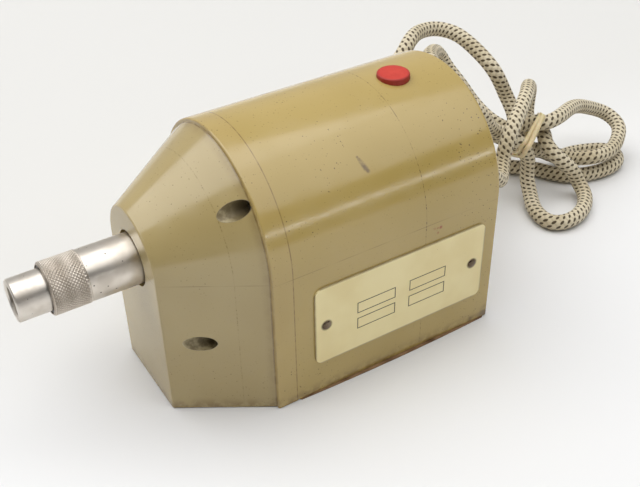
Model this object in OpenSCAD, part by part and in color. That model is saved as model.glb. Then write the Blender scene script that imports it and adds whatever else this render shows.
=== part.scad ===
// Bench motor head: an arched moulded housing with a quick-release chuck in its nose, a push button on
// top and a mains cord tied up behind it. The spindle runs along Y, with the chuck at the -Y end.
// Z is up from the bench, and y = 0 is half way between the mouth of the chuck and the back of the body.

/* [Housing] */
// Width across the straight sides; the arch is half as much in radius
body_w = 80; // [79:0.5:82]
// Height of the spindle axis above the bench
axis_z = 56.5; // [56:0.5:58]
// Where the back of the body ends along the spindle
back_y = 85; // [85:0.5:88]
// Wall of the moulded pieces
wall = 3.5; // [3:0.1:3.5]
// Radius of the edge round the back of the body
back_edge_r = 1.4; // [0.5:0.1:2.5]
// Gap under the nose and the ring, which hang clear of the bench
ring_base = 0.4; // [0.2:0.1:1]
// Thickness of the fibre sheet that the body stands on
pad_t = 0.5; // [0.3:0.1:1]
// How far its edge stands out beyond the body's sides, half way along
pad_out = 1.2; // [0.5:0.1:1.4]
// Thickness of the steel plate that closes the body
plate_t = 1.5; // [1:0.1:2]

/* [Nose] */
// Where the face of the nose lies along the spindle
nose_y = -43; // [-44:0.5:-42]
// Half width of the nose at its face
nose_front_w = 19; // [18:0.5:20]
// Half width of the nose where it meets the ring
nose_back_w = 38.6; // [38:0.1:39]
// Where the ring begins along the spindle
ring_y = -11; // [-12:0.5:-10]
// Distance of the upper housing screws from the axis, sideways
screw_up_x = 26; // [25:0.1:26]
// How far the upper housing screws lie above the axis
screw_up = 24.2; // [24:0.1:25]
// Distance of the lower housing screws from the axis, sideways
screw_low_x = 25.4; // [25:0.1:26]
// How far the lower housing screws lie below the axis
screw_low = 25.2; // [24:0.1:25.5]
// Radius of the counterbores, which break out through the taper
counterbore_r = 3.1; // [2.9:0.1:3.3]
// Radius of the opening that the sleeve runs in
nose_hole_r = 10.3; // [9.8:0.1:10.5]

/* [Chuck] */
// Where the mouth of the spindle tube lies along the spindle
mouth_y = -85; // [-88:0.5:-84.5]
// Radius of the spindle tube
tube_r = 7.5; // [7.3:0.1:7.5]
// Radius of the bore that takes the tool
socket_r = 5.2; // [4.9:0.1:5.3]
// Depth of that bore, up to where it narrows for the balls
socket_l = 16.5; // [14:0.5:17]
// Running clearance between the sleeve and the tube
sleeve_fit = 0.06; // [0.03:0.01:0.1]
// Radius of the plain part of the sleeve
sleeve_r = 9.25; // [9.1:0.05:9.4]
// Radius of the knurled part of the sleeve
knurl_r = 9.45; // [9.4:0.05:9.7]
// Travel of the sleeve when the tool is let go
sleeve_travel = 4; // [3.8:0.1:4]
// Number of balls that lock the tool
lock_count = 3; // [2:1:4]

/* [Motor] */
// Radius of the rotor
rotor_r = 13; // [12:0.5:13]
// Air gap between rotor and poles
air_gap = 0.3; // [0.3:0.05:0.6]
// Radius of the motor shaft
shaft_r = 3; // [2.5:0.1:3]
// Where the stack of laminations begins along the spindle
stack_y = 16; // [14:1:16]
// Thickness of the stack
stack_l = 20; // [16:1:20]
// Number of balls in the spindle bearing
bearing_balls_n = 8; // [6:1:9]

/* [Button and switch] */
// Place of the button along the top of the body
button_y = 62; // [61:0.5:63]
// Place of the button across the body, towards the nameplate
button_x = 2.8; // [0:0.1:2.8]
// Radius of the button
button_r = 6; // [5.5:0.1:6.2]
// How far the button stands out of the arch
button_out = 1.5; // [1.2:0.1:2.5]
// Travel of the button
button_travel = 1.5; // [1:0.1:2]

/* [Nameplate] */
// Length of the plate along the body
nameplate_l = 74.5; // [70:0.5:76]
// Height of the plate
nameplate_h = 34.1; // [25:0.1:36]
// Thickness of the plate
nameplate_t = 0.6; // [0.4:0.1:1]

/* [Cord] */
// Radius of the braided cord
cord_r = 3.4; // [3:0.1:3.4]
// Height of the cord's middle where it leaves the body
cord_z = 34; // [33.5:0.5:34.5]
// Length of the tapered boot behind the wall
boot_l = 24; // [20:1:24]
// Radius of the outermost loop of the spare cord
coil_r = 41.5; // [40:0.5:41.5]
// Turns of the spare cord, in two layers
coil_turns = 2.5; // [1.5:1:2.5]

/* [Hidden] */
$fn = 48;
half_w = body_w / 2;
inner_w = half_w - wall;
shell_base = pad_t + 0.1;
ring_back = -3.2;
pad_front = -2.6;
pad_back = back_y - 0.8;
pad_corner_out = 0.3;
web_front = -6;
nose_base = ring_base;
pocket_w = half_w - 1.9;
spigot_w = inner_w - 0.1;
screw_at = [for (sx = [-1, 1]) each
    [[sx * screw_up_x, axis_z + screw_up], [sx * screw_low_x, axis_z - screw_low]]];

// spindle, bearing and sleeve
ball_y = mouth_y + 19.5;
ball_r = 1.5;
sleeve_front = mouth_y + 11;
sleeve_back = mouth_y + 48;
ring_groove_y = mouth_y + 11.2;
chamber_front = mouth_y + 23;
collar_y = mouth_y + 45;
collar_r = 8.38;
chamber_r = 8.45;
groove_r = 8.6;
sleeve_mouth_r = 8.5;
snap_ring_r = 8.3;
bearing_y = -30;
bearing_l = 8;
bearing_in_r = 6;
bearing_out_r = 14;
race_mid_r = (bearing_in_r + bearing_out_r) / 2;
bearing_ball_r = 2.38;
bearing_end = bearing_y + bearing_l;
tail_r = 5.9;
tail_y = -8;
coupling_y = -13;
sleeve_wire_r = 0.35;
sleeve_coil_r = 7.85;
spring_seat_r = 7.1;
lock_bore_r = 4.9;
lock_bore_end = mouth_y + 28;
tip_end = mouth_y + 31;
shaft_front = -19;
groove_front = ball_y - sleeve_travel - 1.7;
groove_back = groove_front + 2.4;

// motor
stack = [stack_y, stack_y + stack_l];
bolt_x = 21;
bolt_r = 2;
bracket_t = 2.5;
front_bar_y = 6;
rear_bar_y = 44;
hub_r = 9;
bush_r = 5.5;
bush_l = 8;
core_x = 28;
core_top = axis_z + 22;
core_low = 13;
limb_w = 10;
bar_h = 10;

// switch
seat_z = 91.4;
bracket_z = 81.6;
bracket_t_z = 1.4;
plate_top = bracket_z + bracket_t_z;
button_top = axis_z + half_w + button_out;
flange_z = 90;
flange_r = 7.5;
button_coil_r = 6.2;
button_wire_r = 0.35;
plunger_r = 1.8;
plunger_top = 87.1;
plunger_hole_z = 76;
plunger_base = plunger_hole_z + button_travel + 0.2;
tag_x = 6;

// screws and pins that more than one piece shares
boss_r = 4.2;
boss_y = 1.2;
boss_l = 10.8;
base_screw_at = [for (sx = [-1, 1], y = [6, 76]) [sx * 33, y]];
base_hole_r = 1.5;
bracket_screw_x = 16;
clamp_screw_x = 9.5;
clamp_y = 76.8;
clamp_w = 26;
clamp_l = 5.4;
clamp_block_z = 25;
clamp_block_h = 5.5;
pin_y = [9.2, 73.7];
pin_z = 31.2;
pin_head_r = 1.8;
pin_head_h = 0.7;
nameplate_mid_y = 41.75;

// cord
boot_y = back_y + boot_l;
floor_z = cord_r + 0.1;
layer_h = 7.4;
coil_pitch = 7.6;
coil_x = -94;
coil_y = 66;
plug_at = [-131, 105, 7];

// From the boot into the first fold, over the bundle and behind it
fold_route = [[0, boot_y, cord_z], [0, boot_y + 7, cord_z], [-2.9, 125.1, 26.2], [-10.7, 132.5, 28.3],
    [-12.7, 135.7, 35.4], [-15.1, 140.7, 41.2], [-21.3, 150.3, 44.9], [-28.2, 159.6, 46.2],
    [-37.5, 169.3, 43.8], [-42.7, 175.5, 37.4], [-44, 176.6, 31.5], [-43.1, 175.8, 26.5],
    [-37.5, 172.7, 22.7]];
// The loop that lies in front on the bench
front_route = [[-23.5, 168.8, 25.8], [-17.8, 164.8, 24.6], [-10.7, 165.9, 20.4], [-6.2, 171.8, 14],
    [-3.5, 174.8, 7.4], [3.7, 173.2, floor_z], [11.6, 162.6, floor_z], [13.2, 152.3, floor_z],
    [9.3, 145.8, floor_z], [-1, 146.8, floor_z], [-9.8, 151.6, 5], [-15.1, 152.9, 12.5],
    [-15.6, 152.7, 21.7], [-16.1, 148.2, 29.7], [-20.9, 143.2, 34.2]];
// The narrow loop that stands up behind the body
upright_route = [[-23.3, 136.4, 37.8], [-20.8, 127.2, 48.9], [-24.5, 116.1, 61.3], [-30.8, 111.6, 69.4],
    [-38.4, 111.8, 71.3], [-47.4, 118.4, 69.5], [-55.5, 128.5, 64.4], [-53.7, 133.2, 56.4],
    [-46.5, 135.4, 50.6], [-41.8, 139.4, 42.7], [-34, 142, 37.5], [-29.2, 146.8, 33.5], [-25.9, 151, 32],
    [-23.6, 161.4, 34.3]];
// The loop to the right that rests on the one below it
right_route = [[-20.2, 164.4, 33.5], [-20, 173.1, 34.3], [-28.3, 191.7, 30.4], [-32.4, 210, 21.7],
    [-28.9, 217.3, 17.8], [-21.5, 217.8, 14.4], [-14.7, 209.7, 11.7], [-10, 198.9, 11.7],
    [-10.1, 187.6, 12.8], [-15.7, 181.5, 11.8], [-20.5, 174, 13.9], [-23, 170.5, 16], [-25.8, 161, 19.1],
    [-30, 157, 26.5]];
// The big arch to the left and down to the bench
arch_route = [[-35.2, 160.2, 32.3], [-42.3, 160.1, 39.8], [-45.2, 154.4, 52.2], [-55, 152.2, 58.5],
    [-66.9, 149.3, 63.2], [-74, 142.8, 65.1], [-73.2, 132.1, 66.7], [-67.1, 122.1, 67.5],
    [-61.8, 112.5, 62.8], [-65.1, 101.2, 49.3], [-61.9, 97.3, 36.2], [-60.6, 96.6, 17.9], [-57, 104, 5],
    [-60, 121, floor_z], [-59, 135, floor_z], [-55.9, 146.9, 5], [-46.2, 152.8, 19], [-37.5, 158.3, 18.4],
    [-31.9, 164.5, 12.5]];
// The lowest loop, to the right on the bench
low_route = [[-30.5, 174, 11], [-28.2, 184.7, 4.8], [-28.7, 195, floor_z], [-25.4, 204.6, floor_z],
    [-21.2, 211.2, floor_z], [-15, 211.8, floor_z], [-9.9, 206.2, floor_z], [-8.7, 196.8, floor_z],
    [-10.6, 186.8, floor_z], [-14.6, 178.4, floor_z], [-21, 173.6, floor_z], [-28, 169.7, floor_z],
    [-34.3, 162.3, floor_z], [-44, 153, floor_z]];
// From the bundle to the spare cord
tail_route = [[-48, 142, floor_z], [-49, 130, floor_z], [-48, 118, floor_z], [-48, 104, floor_z],
    [-50, 92, floor_z], [-52.5, 80, floor_z], [-52.5, 73, floor_z]];
bunch_route = concat(fold_route, front_route, upright_route, right_route, arch_route, low_route, tail_route);
// From the spare cord's last turn down to the plug
plug_route = [[-135.5, 73, 10.9], [-135, 80, 10], [-133, 90, 8], [-131, 98, 7], plug_at];
// Inside the housing, from the boot down behind the terminals
end_route = [[0, 80, cord_z], [0, 76.5, cord_z], [0, 73.5, cord_z], [0, 70.8, 32.4], [0, 70, 28],
    [0, 70.6, 23], [0, 71, 18]];

// rubber band: its middle, the way the cord runs through it, and where the strands cross its plane
band_at = [-25.8, 160.6, 26.6];
band_axis = [0.71, 0.55, -0.43];
band_strands = [[-15.8, 2.9], [-14.4, 0.9], [-0.9, 7.7], [-0.5, 8.8], [5.6, -12.5], [6, -13.4]];
band_w = 3.2;
band_inner = 3.45;
band_t = 0.7;

// A frame on the spindle axis: its z runs along +Y and its x stays
module on_axis(y = 0) translate([0, y, axis_z]) rotate([-90, 0, 0]) children();
// The same at any place across the body
module along_y(x, y, z) translate([x, y, z]) rotate([-90, 0, 0]) children();
module rod(r, y0, y1) on_axis(y0) cylinder(r = r, h = y1 - y0);
// A turned piece, its outline given as radius and place along the spindle
module turned(outline) on_axis() rotate_extrude() polygon(outline);
module at_screws(y) for (p = screw_at) along_y(p.x, y, p.y) children();
module slot(r, depth, w = 0.9) translate([-r, -w / 2, -0.01]) cube([2 * r, w, depth]);

// Points of an arc about c, both ends included
function arc(c, r, a0, a1, n = 6) = [for (i = [0 : n])
    let (a = a0 + (a1 - a0) * i / n) c + r * [cos(a), sin(a)]];

// The form shared by body, ring and nose: an outline in half width and y, spun through the upper half
// turn about the spindle and let straight down from there to the base
module arched(base, outline) {
    on_axis() rotate([0, 0, 180]) rotate_extrude(angle = 180) polygon(outline);
    translate([0, 0, base]) linear_extrude(axis_z - base)
        polygon(concat(outline,
            [for (i = [len(outline) - 1 : -1 : 0]) if (outline[i].x > 0) [-outline[i].x, outline[i].y]]));
}
function block(w, y0, y1) = [[0, y0], [w, y0], [w, y1], [0, y1]];

// A rounded rectangle about the origin
module rounded(w, h, r) polygon(concat(
    arc([w / 2 - r, h / 2 - r], r, 0, 90), arc([r - w / 2, h / 2 - r], r, 90, 180),
    arc([r - w / 2, r - h / 2], r, 180, 270), arc([w / 2 - r, r - h / 2], r, 270, 360)));

function unit(v) = v / norm(v);
// A smooth curve through the points of a route, with a number of steps between each two
function curve(p, steps) = [
    for (i = [0 : len(p) - 2], k = [0 : steps - 1])
        let (a = i > 0 ? p[i - 1] : 2 * p[0] - p[1], b = p[i], c = p[i + 1],
            d = i + 2 < len(p) ? p[i + 2] : 2 * c - b, t = k / steps)
        b + ((c - a) * t + (2 * a - 5 * b + 4 * c - d) * t * t + (3 * b - a - 3 * c + d) * t * t * t) / 2,
    p[len(p) - 1]];
function tangents(p) = [for (i = [0 : len(p) - 1]) unit(p[min(i + 1, len(p) - 1)] - p[max(i - 1, 0)])];
// Sideways vectors carried along a curve without twist
function sideways(t) = [
    for (i = 0, s = unit(cross(t[0], abs(t[0].z) < 0.9 ? [0, 0, 1] : [1, 0, 0])); i < len(t);
        i = i + 1, s = i < len(t) ? unit(s - (s * t[i]) * t[i]) : s) s];
// A round tube through the points, closed at both ends
module tube_along(p, r, sides) {
    t = tangents(p);
    s = sideways(t);
    last = (len(p) - 1) * sides;
    points = [for (i = [0 : len(p) - 1], k = [0 : sides - 1])
        p[i] + r * (cos(360 * k / sides) * s[i] + sin(360 * k / sides) * cross(t[i], s[i]))];
    skin = [for (i = [0 : len(p) - 2], k = [0 : sides - 1])
        let (a = i * sides + k, b = i * sides + (k + 1) % sides)
            each [[a, a + sides, b + sides], [a, b + sides, b]]];
    caps = [for (k = [1 : sides - 2]) each [[0, k, k + 1], [last, last + k + 1, last + k]]];
    polyhedron(points = points, faces = concat(skin, caps));
}
// Least distance between the surfaces of stretches that are at least skip points apart along a curve
function least_gap(p, r, skip) =
    min([for (i = [0 : len(p) - 1]) for (j = [i + skip : 1 : len(p) - 1]) norm(p[i] - p[j])]) - 2 * r;
// A helix about the z axis
function helix(r, z0, z1, turns, per_turn) = [
    for (i = [0 : turns * per_turn]) let (a = 360 * i / per_turn)
        [r * cos(a), r * sin(a), z0 + (z1 - z0) * i / (turns * per_turn)]];

// Arched shell, open in front and below, with the screw bosses and the seats that are moulded with it
module body_shell() color("#a09368") difference() {
    union() {
        difference() {
            arched(shell_base, concat([[0, ring_back], [half_w, ring_back]],
                arc([half_w - back_edge_r, back_y - back_edge_r], back_edge_r, 0, 90), [[0, back_y]]));
            arched(shell_base - 1, block(inner_w, ring_back - 1, back_y - wall));
        }
        for (p = screw_at) {
            along_y(p.x, boss_y, p.y) cylinder(r = boss_r, h = boss_l);
            if (p.y < axis_z)
                translate([p.x > 0 ? p.x : -inner_w - 0.5, boss_y, p.y - 1.5])
                    cube([inner_w + 0.5 - screw_low_x, boss_l, 3]);
        }
        for (p = base_screw_at) translate([p.x, p.y, shell_base + plate_t]) cylinder(r = 4.4, h = 12);
        intersection() {
            translate([button_x, button_y, seat_z]) cylinder(r = 10.5, h = 4);
            rod(half_w - 0.5, button_y - 12, button_y + 12);
        }
        for (sx = [-1, 1]) intersection() {
            translate([button_x + sx * bracket_screw_x, button_y, plate_top]) cylinder(r = 4, h = 10);
            rod(half_w - 0.5, button_y - 5, button_y + 5);
        }
        translate([-clamp_w / 2, clamp_y - clamp_l / 2 - 0.3, clamp_block_z])
            cube([clamp_w, clamp_l + 0.5, clamp_block_h]);
        for (x = [-clamp_w / 2, clamp_w / 2 - 4]) translate([x, clamp_y, clamp_block_z])
            cube([4, back_y - wall + 0.5 - clamp_y, clamp_block_h]);
    }
    translate([button_x, button_y, 80]) cylinder(r = button_r + 0.08, h = 20);
    along_y(0, back_y - wall - 1, cord_z) cylinder(r = 6, h = wall + 2);
    at_screws(ring_back - 1) cylinder(r = 1.52, h = 12 - ring_back);
    for (p = base_screw_at) translate([p.x, p.y, 0]) cylinder(r = base_hole_r, h = 13);
    for (sx = [-1, 1]) {
        translate([button_x + sx * bracket_screw_x, button_y, plate_top - 1]) cylinder(r = 1.5, h = 7.5);
        translate([sx * clamp_screw_x, clamp_y, 24]) cylinder(r = 1.5, h = 8);
    }
    for (y = pin_y) translate([half_w - 3, y, pin_z]) rotate([0, 90, 0]) cylinder(r = 0.85, h = 4);
}

// Ring between nose and body: a pocket for the nose in front, a rim into the body behind, a web between
module mounting_ring() color("#9c8f66") difference() {
    union() {
        difference() {
            union() {
                arched(ring_base, concat([[0, ring_y]],
                    arc([half_w - 0.7, ring_y + 0.7], 0.7, -90, 0), [[half_w, ring_back], [0, ring_back]]));
                arched(shell_base + plate_t + 0.2, block(spigot_w, ring_back - 1, 1));
            }
            arched(ring_base + 1.9, block(pocket_w, ring_y - 1, web_front));
            arched(shell_base + plate_t + 2.2, block(spigot_w - 2, ring_back, 2));
        }
        for (sx = [-1, 1]) along_y(sx * bolt_x, web_front, axis_z)
            cylinder(r = 5, h = front_bar_y - web_front);
    }
    rod(12, web_front - 1, ring_back + 1);
    at_screws(web_front - 1) cylinder(r = 1.6, h = 9);
    for (sx = [-1, 1]) along_y(sx * bolt_x, web_front - 1, axis_z) cylinder(r = bolt_r + 0.02, h = 14);
}

// Nose: a tapered shell with the bearing seat, four screw columns and the webs that tie them together.
// The counterbores are deeper than the taper is wide, so they open as flutes in its side.
module nose_housing() color("#968a63") {
    slope = (nose_back_w - nose_front_w) / (ring_y - nose_y);
    outline = concat([[0, nose_y]], arc([nose_front_w - 0.7, nose_y + 0.9], 0.9, -90, -15),
        [[nose_back_w, ring_y], [0, ring_y]]);
    hollow_y = nose_y + 5;
    hollow_w = nose_front_w + slope * 5 - wall * sqrt(1 + slope * slope);
    cavity = [[0, hollow_y], [hollow_w, hollow_y], [hollow_w + slope * (ring_y - hollow_y), ring_y],
        [hollow_w + slope * (ring_y - hollow_y), 0], [0, 0]];
    difference() {
        union() {
            difference() {
                union() {
                    arched(nose_base, outline);
                    arched(nose_base + 2, block(pocket_w - 0.1, ring_y - 1, web_front));
                }
                arched(nose_base + wall + 1, cavity);
            }
            intersection() {
                union() {
                    arched(nose_base, outline);
                    arched(nose_base + 2, block(pocket_w - 0.1, ring_y - 1, web_front));
                }
                union() {
                    rod(bearing_out_r + 4, hollow_y - 1, bearing_end + 3);
                    at_screws(nose_y) cylinder(r = 5, h = web_front - nose_y);
                    for (a = [45 : 90 : 315]) on_axis(hollow_y - 1) rotate([0, 0, a])
                        translate([bearing_out_r + 2, -1.5, 0]) cube([16, 3, ring_y - hollow_y - 2]);
                }
            }
        }
        rod(nose_hole_r, nose_y - 1, 0);
        rod(12.4, hollow_y, 0);
        rod(bearing_out_r, bearing_y, 0);
        rod(bearing_out_r + 1, bearing_end, bearing_end + 1.2);
        at_screws(nose_y - 1) cylinder(r = counterbore_r, h = -8 - nose_y + 1);
        at_screws(-9) cylinder(r = 1.6, h = 5);
    }
}

// Slotted cheese-head screws through the nose and the ring into the body
module housing_screws() color("#8d8d88") at_screws(-10) difference() {
    union() {
        cylinder(r = 2.5, h = 2);
        cylinder(r = 1.5, h = 19);
    }
    slot(3, 0.9);
}

// Fibre sheet under the body, its corners cut and its long sides bowed outwards where it has swollen
module base_pad() color("#5b4632") linear_extrude(pad_t) {
    bow = pad_out - pad_corner_out;
    side = concat([[half_w - 1.5, pad_front]], [for (i = [0 : 8]) let (t = i / 8)
        [half_w + pad_corner_out + bow * 4 * t * (1 - t), pad_front + 1 + (pad_back - pad_front - 3) * t]],
        [[half_w - 1.5, pad_back]]);
    polygon(concat(side, [for (i = [len(side) - 1 : -1 : 0]) [-side[i].x, side[i].y]]));
}

module base_plate() color("#9a9a96") difference() {
    translate([0, 41, shell_base]) linear_extrude(plate_t) rounded(2 * inner_w - 0.4, 79.6, 1.5);
    for (p = base_screw_at) translate([p.x, p.y, shell_base]) {
        translate([0, 0, -1]) cylinder(r = 1.6, h = 4);
        cylinder(r1 = 2.9, r2 = 1.6, h = 1.3);
    }
}

module base_screws() color("#8d8d88") for (p = base_screw_at)
    translate([p.x, p.y, shell_base]) difference() {
        union() {
            cylinder(r1 = 2.7, r2 = 1.45, h = 1.25);
            cylinder(r = 1.45, h = 10);
        }
        slot(3, 0.7, 0.8);
    }

module nameplate() color("#e8ddb4") difference() {
    translate([half_w, nameplate_mid_y, pin_z]) rotate([90, 0, 90]) linear_extrude(nameplate_t)
        rounded(nameplate_l, nameplate_h, 3.5);
    for (y = pin_y) translate([half_w - 1, y, pin_z]) rotate([0, 90, 0]) cylinder(r = 0.85, h = 3);
}

// Domed drive pins of the nameplate
module nameplate_pins() color("#4a4640") for (y = pin_y) translate([half_w, y, pin_z]) rotate([0, 90, 0])
    rotate_extrude() polygon([[0, -2.5], [0.8, -2.5], [0.8, nameplate_t], [pin_head_r, nameplate_t],
        for (a = [15 : 15 : 90]) [pin_head_r * cos(a), nameplate_t + pin_head_h * sin(a)]]);

// Push button: a slightly domed cap, the flange that stops it and the stem over the switch
module button() color("#b03a2c") translate([button_x, button_y, 0]) rotate_extrude() polygon(concat(
    [[0, plunger_top + 0.1], [3, plunger_top + 0.1], [3, flange_z], [flange_r, flange_z],
        [flange_r, seat_z - 0.1], [button_r, seat_z - 0.1]],
    arc([button_r - 0.5, button_top - 0.6], 0.5, 0, 90), [[3, button_top - 0.03], [0, button_top]]));

module button_spring() color("#b8b8b4") translate([button_x, button_y, 0])
    tube_along(helix(button_coil_r, plate_top + 0.4, flange_z - 0.4, 4, 8), button_wire_r, 6);

// Sheet bracket that carries the switch under the button
module switch_bracket() color("#a8a8a2") difference() {
    translate([button_x, button_y, bracket_z]) linear_extrude(bracket_t_z) rounded(40, 17, 3);
    translate([button_x, button_y, bracket_z - 1]) cylinder(r = 3.6, h = 4);
    for (sx = [-1, 1]) translate([button_x + sx * bracket_screw_x, button_y, bracket_z - 1])
        cylinder(r = 1.6, h = 4);
}

module bracket_screws() color("#8d8d88") for (sx = [-1, 1])
    translate([button_x + sx * bracket_screw_x, button_y, bracket_z - 2]) difference() {
        union() {
            cylinder(r = 2.75, h = 2);
            cylinder(r = 1.45, h = 9);
        }
        slot(3, 0.9);
    }

module switch_body() color("#2f2d2b") difference() {
    union() {
        translate([button_x, button_y, 65.5]) linear_extrude(16) rounded(24, 14, 1);
        translate([button_x, button_y, 81]) cylinder(r = 3.5, h = 3.6);
    }
    translate([button_x, button_y, plunger_hole_z]) cylinder(r = plunger_r + 0.08, h = 10);
}

module switch_nut() color("#c2b280") translate([button_x, button_y, plate_top]) difference() {
    cylinder(r = 5, h = 1.4, $fn = 6);
    translate([0, 0, -1]) cylinder(r = 3.52, h = 4);
}

module switch_plunger() color("#d9d4c8") translate([button_x, button_y, plunger_base])
    cylinder(r = plunger_r, h = plunger_top - plunger_base);

module switch_tags() color("#c9a94e") for (sx = [-1, 1])
    translate([button_x + sx * tag_x - 0.4, button_y - 2.5, 61.5]) cube([0.8, 5, 4]);

// Spindle: the tool socket in front, the collar that the sleeve spring pushes on, the bearing journal
// and the tail that takes the motor shaft
module spindle() color("#c9c8c2") difference() {
    turned([[socket_r + 0.5, mouth_y], [tube_r - 0.4, mouth_y], [tube_r, mouth_y + 0.4],
        [tube_r, ring_groove_y], [tube_r - 0.4, ring_groove_y], [tube_r - 0.4, ring_groove_y + 1],
        [tube_r, ring_groove_y + 1], [tube_r, chamber_front + 0.1], [spring_seat_r, chamber_front + 0.1],
        [spring_seat_r, collar_y], [collar_r, collar_y], [collar_r, collar_y + 4],
        [7.2, collar_y + 4], [7.2, bearing_y], [bearing_in_r - 0.01, bearing_y],
        [bearing_in_r - 0.01, bearing_end], [5.5, bearing_end], [5.5, bearing_end + 1.2],
        [tail_r, bearing_end + 1.2], [tail_r, tail_y], [shaft_r + 0.02, tail_y],
        [shaft_r + 0.02, shaft_front - 1], [0, shaft_front - 1], [0, tip_end], [lock_bore_r, lock_bore_end],
        [lock_bore_r, mouth_y + socket_l + 0.8], [socket_r, mouth_y + socket_l + 0.5],
        [socket_r, mouth_y + 0.5]]);
    for (i = [0 : lock_count - 1]) on_axis(ball_y) rotate([0, 90, 90 + 360 * i / lock_count])
        cylinder(r = ball_r + 0.05, h = 12);
    on_axis(coupling_y) rotate([-90, 0, 0]) cylinder(r = 1.52, h = 8);
}

module lock_balls() color("#d8d8d4") for (i = [0 : lock_count - 1])
    on_axis(ball_y) rotate([0, 0, 90 + 360 * i / lock_count])
        translate([tube_r - ball_r, 0, 0]) sphere(r = ball_r);

// Open spring ring in the tube's groove, which stops the sleeve
module snap_ring() color("#55524c") difference() {
    turned([[tube_r - 0.38, ring_groove_y + 0.1], [snap_ring_r, ring_groove_y + 0.1],
        [snap_ring_r, ring_groove_y + 0.9], [tube_r - 0.38, ring_groove_y + 0.9]]);
    on_axis(ring_groove_y - 1) translate([-1.2, 5, 0]) cube([2.4, 5, 3]);
}

// Sleeve, pushed forward by its spring. Its narrow land holds the balls in; drawn back, the groove in
// front of the land lets them out.
module chuck_sleeve() color("#b9b8b2") turned([
    [sleeve_mouth_r, sleeve_front], [knurl_r - 0.6, sleeve_front], [knurl_r, sleeve_front + 0.6],
    [knurl_r, sleeve_front + 12.8], [sleeve_r, sleeve_front + 13], [sleeve_r, sleeve_back - 0.4],
    [sleeve_r - 0.4, sleeve_back], [chamber_r, sleeve_back], [chamber_r, chamber_front],
    [tube_r + sleeve_fit, chamber_front], [tube_r + sleeve_fit, groove_back + 1], [groove_r, groove_back],
    [groove_r, groove_front], [tube_r + sleeve_fit, groove_front], [tube_r + sleeve_fit, ring_groove_y + 1],
    [sleeve_mouth_r, ring_groove_y + 1]]);

module sleeve_spring() color("#b8b8b4") on_axis()
    tube_along(helix(sleeve_coil_r, chamber_front + 0.4, collar_y - 0.4, 8, 12), sleeve_wire_r, 6);

module race(r0, r1) on_axis() rotate_extrude() difference() {
    translate([r0, bearing_y]) square([r1 - r0, bearing_l]);
    translate([race_mid_r, bearing_y + bearing_l / 2]) circle(r = bearing_ball_r + 0.08);
}
module bearing_inner_race() color("#c9c8c2") race(bearing_in_r, race_mid_r - 1.7);
module bearing_outer_race() color("#c9c8c2") race(race_mid_r + 1.7, bearing_out_r - 0.01);
module bearing_balls() color("#d8d8d4") for (i = [0 : bearing_balls_n - 1])
    on_axis(bearing_y + bearing_l / 2) rotate([0, 0, 360 * i / bearing_balls_n])
        translate([race_mid_r, 0, 0]) sphere(r = bearing_ball_r);

module clip(r0, r1, gap_side) difference() {
    turned([[r0, bearing_end + 0.1], [r1, bearing_end + 0.1], [r1, bearing_end + 1.1],
        [r0, bearing_end + 1.1]]);
    on_axis(bearing_end - 1) translate([-2, gap_side * (r0 + r1) / 2 - 4, 0]) cube([4, 8, 4]);
}
module bearing_clip() color("#55524c") clip(12.2, 14.9, 1);
module spindle_clip() color("#55524c") clip(5.55, 7.6, -1);

module coupling_screw() color("#55524c") on_axis(coupling_y) rotate([-90, 0, 0]) difference() {
    translate([0, 0, shaft_r + 0.05]) cylinder(r = 1.5, h = tail_r - shaft_r - 0.1);
    translate([0, 0, tail_r - 1.2]) cylinder(r = 0.8, h = 2, $fn = 6);
}

module motor_shaft() color("#c9c8c2") turned([[0, shaft_front], [shaft_r - 0.3, shaft_front],
    [shaft_r, shaft_front + 0.3], [shaft_r, 51.7], [shaft_r - 0.3, 52], [0, 52]]);

module rotor_core() color("#8b8d90") turned([[shaft_r + 0.01, stack[0]], [rotor_r, stack[0]],
    [rotor_r, stack[1]], [shaft_r + 0.01, stack[1]]]);

module rotor_cage() color("#bfc1c2") for (y = [stack[0] - 2.8, stack[1]])
    turned([[5, y], [rotor_r - 0.8, y], [rotor_r - 0.8, y + 2.8], [5, y + 2.8]]);

// Laminated core: two limbs joined round the rotor, with a slot at each shading ring
shade_angles = [20, 62];
shade_in = rotor_r + air_gap + 1.5;
shade_w = 3;
module stator_core() color("#6e7073") along_y(0, stack_y, axis_z) linear_extrude(stack_l) difference() {
    rise = core_top - axis_z;
    drop = axis_z - core_low;
    bend = axis_z - 38;
    polygon([[-core_x, 6 - rise], [6 - core_x, -rise], [core_x - 6, -rise], [core_x, 6 - rise],
        [core_x, drop],
        [core_x - limb_w, drop], [core_x - limb_w, bend], [limb_w - core_x, bend], [limb_w - core_x, drop],
        [-core_x, drop]]);
    circle(r = rotor_r + air_gap);
    for (sx = [-1, 1]) translate([sx * bolt_x, 0]) circle(r = bolt_r + 0.1);
    for (turn = [0, 180], a = shade_angles) rotate(turn - a)
        translate([rotor_r - 1, -1.2]) square([shade_in + shade_w + 1.4 - rotor_r, 2.4]);
}

module coil_bar() color("#6e7073") translate([-(core_x - limb_w - 0.1), stack[0], core_low])
    cube([2 * (core_x - limb_w - 0.1), stack[1] - stack[0], bar_h]);

// One closed copper turn in the slots of each pole
module shading_rings() color("#b8734a") for (turn = [0, 180]) {
    for (a = shade_angles) along_y(0, stack[0] - 1.4, axis_z) rotate([0, 0, turn - a])
        translate([shade_in, -0.9, 0]) cube([shade_w, 1.8, stack[1] - stack[0] + 2.8]);
    for (y = [stack[0] - 1.4, stack[1] + 0.1]) along_y(0, y, axis_z) rotate([0, 0, turn - shade_angles[1]])
        rotate_extrude(angle = shade_angles[1] - shade_angles[0])
            translate([shade_in, 0]) square([shade_w, 1.3]);
}

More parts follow.
